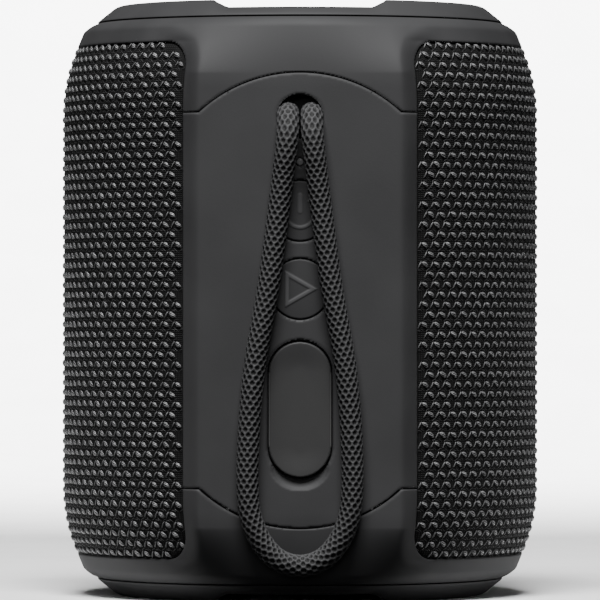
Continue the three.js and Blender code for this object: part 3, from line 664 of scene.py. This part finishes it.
# %% [markdown]
# ## Keys and port cover
#
# The keys are silicone, moulded level with the panel. Their marks stand up by about a tenth of a
# millimetre and are a little lighter: a bar over an open ring on the power key, and an outlined triangle
# on the play key. The keys are patches too, so their edges are as round as the panel's, and each rides
# its own body and can be pressed.


# %% Marks
MARK_HEIGHT = 0.12


def raised(distance, half_width):
    """Height of a raised line, with a soft shoulder, around where distance is 0."""
    return MARK_HEIGHT * eased((half_width + 0.12 - np.abs(distance)) / 0.24)


def store_mark(piece, mark):
    """Keep each point's share of the mark on the mesh, for the material to lighten."""
    places = np.empty(len(piece.data.vertices) * 3)
    piece.data.vertices.foreach_get("co", places)
    places = places.reshape(-1, 3) * 1000 - [0, AXIS_Y, HALF_HEIGHT]
    stored = piece.data.attributes.new("mark", "FLOAT", "POINT")
    share = mark(places[:, 0], places[:, 2]) / MARK_HEIGHT
    stored.data.foreach_set("value", share.astype(np.float32))


def power_mark(x, z):
    """An upright bar in the gap of an open ring."""
    bar = pill(x, z - 1.45, 0.4, 1.5)
    ring = np.hypot(x, z + 0.3) - 2.9
    gap = np.maximum(z - 0.6, 0) > np.abs(x) * 0.9
    return np.maximum(raised(np.maximum(bar, 0), 0.02), np.where(gap, 0, raised(ring, 0.32)))


def play_mark(x, z):
    """The outline of a triangle that points to +x, from three half planes with a rounded corner."""
    px = x + 0.45
    flat = -px - 1.95
    slant = (np.abs(z) * 5.6 + (px + 0.3) * 3.2) / math.hypot(5.6, 3.2) - 1.55
    return raised(np.maximum(flat, slant) - 0.1, 0.36)


def key(name, node, body, height, mark):
    """A round key, its face very slightly domed, with its mark."""

    def surface(x, z, drop):
        """The key's face: the panel's depth, less a tenth, plus a parabolic dome and the mark."""
        dome = 0.12 * (1 - (np.hypot(x, z - height) / KEY_R) ** 2)
        depth = SPINE_DEPTH - 0.1 + dome - drop + mark(x, z - height) * (drop < 0.05)
        return np.stack([x, -depth, z], axis=-1)

    steps = np.arange(-6.0, 6.01, 0.15)
    piece = patch(
        name,
        steps,
        height + steps,
        lambda x, z: -pill(x, z - height, KEY_R),
        surface,
        marked_rubber,
        wall=2.4,
        rounding=0.2,
        body=body,
    )
    store_mark(piece, lambda x, z: mark(x, z - height))
    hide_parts(node)


key("power_key_cap", "power_button", "power_key", POWER_Z, power_mark)
key("play_key_cap", "play_button", "play_key", PLAY_Z, play_mark)


# %% [markdown]
# The port cover is one soft flap. Its face is dished a little, and its back has a shallow recess, so it
# shows a moulded rim when it hangs open.


# %% Port cover
def cover_inside(x, z):
    """The cover's outline, a pill."""
    return -pill(x, z - COVER_Z, COVER_R, COVER_STRAIGHT)


def cover_front(x, z, drop):
    """The cover's face: flat at its edge and dished a little along its middle."""
    dish = 0.3 * eased(cover_inside(x, z) / 5)
    depth = SPINE_DEPTH - 0.1 - dish - drop
    return np.stack([x, -depth, z], axis=-1)


cover = patch(
    "port_cover_flap",
    np.arange(-6.3, 6.31, 0.18),
    np.arange(COVER_Z - 13.3, COVER_Z + 13.31, 0.18),
    cover_inside,
    cover_front,
    key_rubber,
    wall=2.3,
    rounding=0.25,
    body="port_flap",
)
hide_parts("port_cover")


def cover_inner(x, z, drop):
    """The cover's back, seen from inside: a flat rim round a shallow recess."""
    recess = 0.5 * eased((cover_inside(x, z) - 1.2) / 0.6)
    depth = SPINE_DEPTH - 2.45 + recess + drop
    return np.stack([-x, -depth, z], axis=-1)


cover_back = patch(
    "port_cover_back",
    np.arange(-6.2, 6.21, 0.2),
    np.arange(COVER_Z - 13.2, COVER_Z + 13.21, 0.2),
    cover_inside,
    cover_inner,
    key_rubber,
    wall=0.6,
    rounding=0.2,
    body="port_flap",
)

# %% [markdown]
# Round pieces are turned from an outline, as on a lathe, and their corners are softened first. A Screw
# modifier would do the same. Computing the rings lets a function move the points as well, which the
# bumpers need. The first such piece is the status light, a frosted rod between the strands of the cord.


# %% Round pieces
def turned(name, profile, material, centre=(0, 0, 0), axis="z", sides=128, body="speaker_body", shape=None):
    """A piece turned about an axis from a closed outline of radius and height. shape may move its points."""
    profile = np.asarray(profile, float)
    turn = np.linspace(0, 2 * math.pi, sides, endpoint=False)
    radius, height = profile[:, 0][:, None], profile[:, 1][:, None]
    level = np.broadcast_to(height, (len(profile), sides))
    points = np.stack([radius * np.cos(turn), radius * np.sin(turn), level], axis=-1)
    if axis == "depth":
        points = points[..., [0, 2, 1]] * [1, -1, 1]
    points = points + np.asarray(centre, float)
    if shape:
        points = shape(points)
    index = np.arange(len(profile) * sides).reshape(len(profile), sides)
    after, up = np.roll(index, -1, axis=1), np.roll(index, -1, axis=0)
    faces = np.stack([index, after, np.roll(up, -1, axis=1), up], -1).reshape(-1, 4)
    return make_piece(name, points.reshape(-1, 3), faces, material, body)


def rounded(outline, radius=0.4, steps=4):
    """A closed outline, each corner cut by a quadratic curve that starts radius from the corner."""
    corners = np.asarray(outline, float)
    before, after = np.roll(corners, 1, axis=0), np.roll(corners, -1, axis=0)
    t = np.linspace(0, 1, steps)[:, None]
    out = []
    for p, q, r in zip(before, corners, after):
        back, on = p - q, r - q
        start = q + back * min(0.48, radius / np.linalg.norm(back))
        stop = q + on * min(0.48, radius / np.linalg.norm(on))
        out.append((1 - t) ** 2 * start + 2 * t * (1 - t) * q + t**2 * stop)
    return np.vstack(out)


# %% Status light
light = turned(
    "status_light",
    rounded([[0.02, 40], [0.72, 40], [0.72, SPINE_DEPTH - 0.05], [0.02, SPINE_DEPTH + 0.02]], 0.15),
    light_plastic,
    (0, 0, LIGHT_Z),
    "depth",
    32,
)
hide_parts("status_light_pipe")

# %% [markdown]
# ## Bumpers and radiators
#
# Each end has a passive radiator: a heavy plate on a rubber roll, which moves with the air inside and
# deepens the bass. The bumper ring round it keeps it clear of the table, and the ring's two low places
# let the air out. Both ends are the same outlines, with the heights turned over for the bottom.


# %% Ends
def vented(points):
    """The bumper's two low places, in line with the spine: heights are held down where x is near 0."""
    x, y, z = np.moveaxis(points, -1, 0)
    lid = HALF_HEIGHT - 1.6 * (1 - eased((np.abs(x) - 14.3) / 2.8))
    return np.stack([x, y, np.sign(z) * np.minimum(np.abs(z), lid)], axis=-1)


bumper_outline = rounded(
    [
        [32.0, 51.6],
        [37.4, 51.6],
        [37.4, 55.3],
        [40.45, 55.3],
        [40.35, 55.6],
        [36.9, 58.35],
        [35.9, 58.7],
        [32.9, 58.7],
        [32.0, 57.9],
    ],
    0.5,
)
plate_outline = rounded(
    [[0.05, 45.6], [9, 45.6], [9, 49.7], [20.3, 49.7], [20.3, 51.7], [19.2, 51.9], [0.05, 51.9]], 0.4
)
roll_angle = np.linspace(math.pi, 0, 17)[:, None]
roll_under = np.hstack([24.5 + 1.9 * np.cos(roll_angle), 50.3 + 2.3 * np.sin(roll_angle)])
roll_over = np.hstack([24.5 + 2.6 * np.cos(roll_angle), 51.2 + 2.3 * np.sin(roll_angle)])
roll_outline = np.vstack(
    [
        [[22.6, 50.2]],
        roll_under,
        [[26.4, 50.2], [28.3, 50.2], [28.3, 51.4]],
        roll_over[::-1],
        [[20.6, 51.4], [20.6, 50.2]],
    ]
)
frame_outline = rounded([[28.6, 48.9], [37.1, 48.9], [37.1, 51.2], [28.6, 51.2]], 0.3)
for end, sign in (("top", 1), ("bottom", -1)):
    for node, outline, material, slot_name, shape in (
        ("bumper", bumper_outline, bumper_rubber, "bumper_rubber", vented),
        ("radiator_plate", plate_outline, anodised, "plate_metal", None),
        ("radiator_surround", roll_outline, membrane, "membrane_rubber", None),
        ("radiator_frame", frame_outline, black_abs, "cabinet_plastic", None),
    ):
        profile = outline * [1, sign]
        piece = turned(f"{end}_{node}_skin", profile[::sign], material, shape=shape)
        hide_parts(f"{end}_{node}")

# %% [markdown]
# ## The cloth
#
# The cloth is a warp knit. Its yarn loops stand up from a dark net ground in rows, each loop a slim leg
# that climbs to a peak and a thick leg that falls from it, and fine threads link one row to the next. The
# ground is one sheet stretched round the barrel, and the loops are modelled yarn, because they are large
# enough to be seen one by one.

# %% The ground sheet
KEYS_R, KEYS_STRAIGHT, KEYS_Z = 7.0, 9.4, 8.4  # the volume keys' bezel on the front
FRONT_Y = 48.0  # the bezel's face
GROUND_DROP = 0.3  # the ground lies this far under the barrel's surface
CLOTH_END = 2 * half_round - WINDOW_A


def cloth_inside(a, z):
    """Inside the cloth's window, and clear of the bezel in the middle of the front."""
    near = np.minimum(a, 2 * half_round - a)
    bezel = pill(BARREL_R * np.sin((a - half_round) / BARREL_R), z, KEYS_R + 0.25, KEYS_STRAIGHT)
    return np.minimum(-outside_window(near, z) - 0.12, bezel)


sheet = patch(
    "cloth_ground",
    np.linspace(WINDOW_A - 0.4, CLOTH_END + 0.4, 330),
    np.arange(-50.8, 50.81, 0.8),
    cloth_inside,
    lambda a, z, drop: on_barrel(a, z, barrel(z) - GROUND_DROP - drop),
    ground,
    wall=0.9,
    rounding=0.3,
    uv=True,
)
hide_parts("cloth_sleeve")

# %% The yarn loops
COLUMN, ROW = 2.78, 1.94  # mm from loop to loop and from row to row
SLIM_LEG = [
    [-1.30, -0.62, -0.06, 0.00],
    [-1.20, -0.46, 0.10, 0.12],
    [-0.86, 0.16, 0.16, 0.15],
    [-0.66, 0.52, 0.10, 0.12],
    [-0.60, 0.62, -0.06, 0.00],
]  # across, up, out and the yarn's radius, in mm
THICK_LEG = [
    [-0.42, 0.56, -0.06, 0.00],
    [-0.28, 0.40, 0.10, 0.26],
    [-0.02, 0.14, 0.17, 0.40],
    [0.26, -0.10, 0.17, 0.42],
    [0.54, -0.34, 0.10, 0.28],
    [0.72, -0.50, -0.06, 0.00],
]
LINKS = [
    [[-0.70, -0.66, -0.02, 0.05], [-0.36, -0.92, 0.06, 0.07], [0.06, -1.22, -0.02, 0.05]],
    [[0.34, -1.16, -0.02, 0.05], [0.72, -0.88, 0.06, 0.07], [1.16, -0.72, -0.02, 0.05]],
    [[-1.30, -0.98, -0.02, 0.05], [-0.90, -1.00, 0.06, 0.07], [-0.52, -1.16, -0.02, 0.05]],
]  # the fine threads that join the loops of one row to the next


def strand_mesh(line, sides):
    """A tapering tube along line. Returns offsets (across, up, out), faces and (round, along) values."""
    line = np.array(line)
    way = np.gradient(line[:, :2], axis=0)
    way /= np.linalg.norm(way, axis=1)[:, None]
    turn = np.linspace(0, 2 * math.pi, sides, endpoint=False)
    radius = line[:, 3][:, None]
    across = line[:, 0][:, None] - way[:, 1][:, None] * np.cos(turn) * radius
    up = line[:, 1][:, None] + way[:, 0][:, None] * np.cos(turn) * radius
    out = line[:, 2][:, None] + 0.45 * np.sin(turn) * radius
    index = np.arange(len(line) * sides).reshape(len(line), sides)
    after = np.roll(index, -1, axis=1)
    faces = np.stack([index[:-1], after[:-1], after[1:], index[1:]], -1).reshape(-1, 4)
    values = np.stack(np.meshgrid(np.arange(sides) * 5 / sides, np.arange(len(line))), -1)
    return np.stack([across, up, out], axis=-1).reshape(-1, 3), faces, values.reshape(-1, 2)


def template(strands):
    """Several strands as one mesh: their offsets, faces and values, one after another."""
    parts, count = [], 0
    for line, sides in strands:
        offsets, faces, values = strand_mesh(line, sides)
        parts.append((offsets, faces + count, values))
        count += len(offsets)
    return [np.vstack(column) for column in zip(*parts)]


def loops(name, strands, material, first, last, seed):
    """The strands of all loops between two arc lengths, in rows that stagger by half a column.

    A loop's place is its column and row, plus half a column on odd rows, plus a small random slip. Each loop
    is the same template, scaled by a random size near 1.
    """
    random = np.random.default_rng(seed)
    rows = np.arange(-WINDOW_Z + 0.95, WINDOW_Z - 0.6, ROW)  # whole rows only
    columns = np.arange(WINDOW_A + 0.3, CLOTH_END, COLUMN)
    a, z = np.meshgrid(columns, rows)
    odd = (np.arange(len(rows)) % 2)[:, None]
    a = (a + odd * 0.5 * COLUMN).ravel()
    z, odd = z.ravel(), np.broadcast_to(odd, (len(rows), len(columns))).ravel()
    chosen = (a >= first) & (a < last) & (cloth_inside(a, z) > 0.45)
    a, z, odd = a[chosen], z[chosen], odd[chosen]
    offsets, faces, values = template(strands)
    size = 1.04 + random.normal(0, 0.04, len(a))
    lean = 1.14 - 0.08 * odd
    A = a[:, None] + offsets[:, 0] * (size * lean)[:, None] + random.normal(0, 0.04, len(a))[:, None]
    Z = z[:, None] + offsets[:, 1] * size[:, None] + random.normal(0, 0.03, len(a))[:, None]
    radius = barrel(Z) - GROUND_DROP + offsets[:, 2] * size[:, None]
    points = on_barrel(A, Z, radius).reshape(-1, 3)
    all_faces = (faces[None] + (np.arange(len(a)) * len(offsets))[:, None, None]).reshape(-1, 4)
    shift = random.uniform(0, 50, (len(a), 1, 1))
    uv = (values[None] * [1.0, 0.3] + shift).reshape(-1, 2)
    piece = make_piece(name, points, all_faces, material, uv=uv)
    return piece


quarter = half_round / 2
sides_of_cloth = ("back_right", "front_right", "front_left", "back_left")
legs, links = [(SLIM_LEG, 4), (THICK_LEG, 5)], [(line, 3) for line in LINKS]
for i, side in enumerate(sides_of_cloth):
    span = (i * quarter, (i + 1) * quarter, 11 + i)
    loops(f"cloth_yarn_{side}", legs, yarn, *span)
    loops(f"cloth_links_{side}", links, link_thread, *span)

# %% [markdown]
# ## Volume keys on the front
#
# Two round rubber keys share one oval bezel in the middle of the cloth, marked with a plus and a minus.
# They are patches on a flat plane that faces forward, made like the keys on the spine.


# %% Front keys
def front(x, z, depth):
    """Points on the front, looking from behind: x runs the other way, so that faces still point out."""
    return np.stack([-x, depth, z], axis=-1)


def bezel_inside(x, z):
    """The bezel: a pill, less the two holes for the keys."""
    keys = [pill(x, z - s * KEYS_Z, 5.2) for s in (-1, 1)]
    return np.minimum.reduce([-pill(x, z, KEYS_R, KEYS_STRAIGHT), *keys])


bezel = patch(
    "volume_keys_bezel",
    np.arange(-7.2, 7.21, 0.2),
    np.arange(-16.6, 16.61, 0.2),
    bezel_inside,
    lambda x, z, drop: front(x, z, FRONT_Y - drop),
    key_rubber,
    wall=2.3,
    rounding=0.4,
)
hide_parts("volume_bezel")


# %% Front marks
def upright_bar(x, z):
    """A short upright bar. With x and z swapped it lies level."""
    return raised(np.maximum(pill(x, z, 0.3, 1.7), 0), 0.02)


def plus_mark(x, z):
    """An upright bar and a level one, crossed."""
    return np.maximum(upright_bar(x, z), upright_bar(z, x))


def minus_mark(x, z):
    """A level bar."""
    return upright_bar(z, x)


def volume_key(name, middle, mark):
    """A round volume key at height middle, with its mark."""

    def surface(x, z, drop):
        """The key's face, just proud of the bezel, plus the mark."""
        return front(x, z, FRONT_Y + 0.08 - drop + mark(x, z - middle) * (drop < 0.05))

    steps = np.arange(-5.2, 5.21, 0.16)
    piece = patch(
        f"volume_{name}_cap",
        steps,
        middle + steps,
        lambda x, z: -pill(x, z - middle, 5.0),
        surface,
        marked_rubber,
        wall=2.4,
        rounding=0.4,
        body=f"volume_{name}",
    )
    store_mark(piece, lambda x, z: mark(x, z - middle))
    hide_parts(f"volume_{name}_key")


volume_key("up", KEYS_Z, plus_mark)
volume_key("down", -KEYS_Z, minus_mark)

# %% [markdown]
# ## What stays from the CAD model
#
# The drivers, boards, battery and screws are out of sight, and a glimpse through a gap is all that shows
# of them. They keep their CAD shape and only gain a material. The cord's clamp is given a near-black colour,
# painted shade inside the cord's hole, because it is right behind that hole.

# %% Materials for the inner pieces
finishes = {
    "cabinet_plastic": black_abs,
    "membrane_rubber": membrane,
    "steel": plated_steel,
    "circuit_board": solder_mask,
    "cell_wrap": shrink_wrap,
    "paper_cone": cone_paper,
    "clear_plastic": light_plastic,
    "lead_insulation": wire_skin,
    "soft_rubber": key_rubber,
    "plate_metal": anodised,
}
# Painted shade: the clamp is made near black so that the cord's hole behind the strands reads dark.
hole_shade_steel = moulded("near_black_steel_painted_hole_shade", "0c0c0d", "141415", 0.5, 0.4, 0.01, 0.6)
slots = {part["node"]: part["material_slot"] for part in frame["record"]["subparts"]}
for name, piece in frame["nodes"].items():
    if not piece.hide_render:
        piece.data.materials.clear()
        piece.data.materials.append(hole_shade_steel if name == "cord_clamp" else finishes[slots[name]])
        print(f"{name}: {slots[name]}")

# %% [markdown]
# ## Backdrop and lights
#
# The backdrop is one pale sweep: a floor that curves up into a low wall, with no horizon. It is narrow,
# and its wall is low, so that little of its light comes back on the object's dark sides. One softbox
# hangs above and in front, a weak one fills the front, and one lights the sweep alone.

# %% Backdrop
paper = moulded("backdrop_paper", "f2f2f2", "f6f6f6", 0.9, 3.0, 0.01)
BEND_START, BEND_R = 900, 600
bend = np.linspace(0, math.radians(50), 12)[:, None]
curve = np.hstack([BEND_START + BEND_R * np.sin(bend), BEND_R - BEND_R * np.cos(bend)])
sweep_line = np.vstack([[[-38, 0]], curve])
wide = np.array([-190.0, 190.0])
points = np.stack(
    [
        np.broadcast_to(wide[None, :], (len(sweep_line), 2)),
        np.broadcast_to(sweep_line[:, 0][:, None], (len(sweep_line), 2)),
        np.broadcast_to(sweep_line[:, 1][:, None] - HALF_HEIGHT, (len(sweep_line), 2)),
    ],
    axis=-1,
).reshape(-1, 3)
index = np.arange(len(points)).reshape(-1, 2)
faces = np.stack([index[:-1, 0], index[:-1, 1], index[1:, 1], index[1:, 0]], -1)
backdrop = make_piece("backdrop", points, faces, paper, body=None)
backdrop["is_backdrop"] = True


# %% Lights
def softbox(name, place, aim, size, power):
    """A square area light at place, turned to face aim. Both are in metres."""
    data = bpy.data.lights.new(name, "AREA")
    data.size = size
    data.energy = power
    lamp = bpy.data.objects.new(name, data)
    lamp.location = place
    way = np.array(aim) - np.array(place)
    lamp.rotation_euler = (math.acos(-way[2] / np.linalg.norm(way)), 0, math.atan2(-way[0], way[1]))
    bpy.context.collection.objects.link(lamp)


middle = (0, 0, HALF_HEIGHT / 1000)
softbox("softbox_above", (-0.05, -0.6, 1.15), middle, 0.55, 43)
softbox("softbox_front", (-0.08, -1.3, 0.35), middle, 0.5, 2.2)
softbox("softbox_backdrop", (0, 0.6, 0.95), (0, 1.55, 0.65), 0.6, 110)
world = bpy.data.worlds.new("studio")
world.use_nodes = True
world.node_tree.nodes["Background"].inputs["Color"].default_value = (0.95, 0.97, 1, 1)
world.node_tree.nodes["Background"].inputs["Strength"].default_value = 0.03
bpy.context.scene.world = world

# %% [markdown]
# ## The finished box
#
# The finished model should fill the same box as the CAD model. Its own box is printed, axis by axis.

# %% Print the finished model's box
visual_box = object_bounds()
for axis, (low, high) in enumerate(zip(*visual_box)):
    print("xyz"[axis], f"{low * 1000:.2f} to {high * 1000:.2f} mm")
